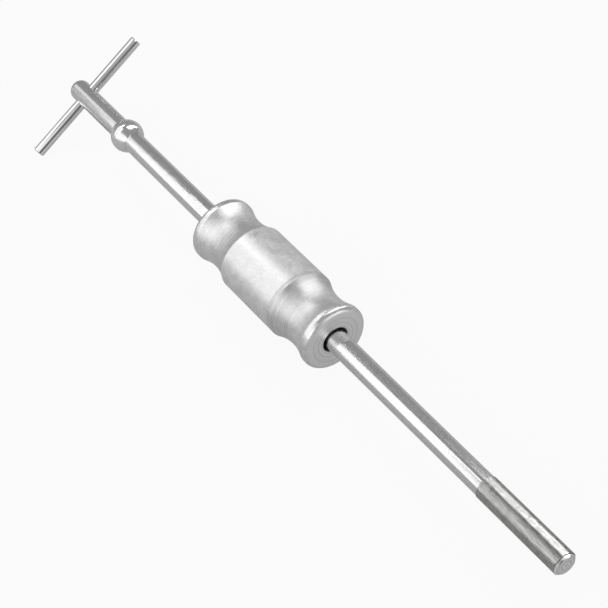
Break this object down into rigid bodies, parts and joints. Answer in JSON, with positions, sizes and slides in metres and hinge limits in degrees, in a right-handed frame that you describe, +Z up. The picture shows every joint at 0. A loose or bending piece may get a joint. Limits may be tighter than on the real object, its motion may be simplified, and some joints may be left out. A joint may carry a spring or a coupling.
{
  "type": "slide hammer puller",
  "caption": "Slide hammer puller: a threaded steel bar with a cross bar handle, a ball stop and a waisted hammer weight that slides along the bar.",
  "frame": {"origin": "centre of the flat end of the thread", "axes": "+X along the shaft, out of its threaded end; +Z up as the tool lies on a bench, on the barrel of its weight and the lower tip of its cross bar"},
  "size_m": [0.464, 0.087, 0.042],
  "materials": {
    "satin_chrome_bar": "satin chrome plate over ground steel",
    "polished_bar": "polished chrome plate",
    "polished_ball": "polished steel ball",
    "ground_pin": "dowel ground flush with the ball",
    "satin_weight": "turned, then satin nickel plated"
  },
  "bodies": {
    "bar": {"shaft": "satin_chrome_bar", "cross_bar": "polished_bar", "stop_ball": "polished_ball", "stop_pin": "ground_pin"},
    "weight": {"hammer_weight": "satin_weight"}
  },
  "joints": [
    {"name": "weight_slide", "type": "slide", "parent": "bar", "child": "weight", "axis": [1, 0, 0], "range_m": [-0.0968, 0.1275]}
  ]
}
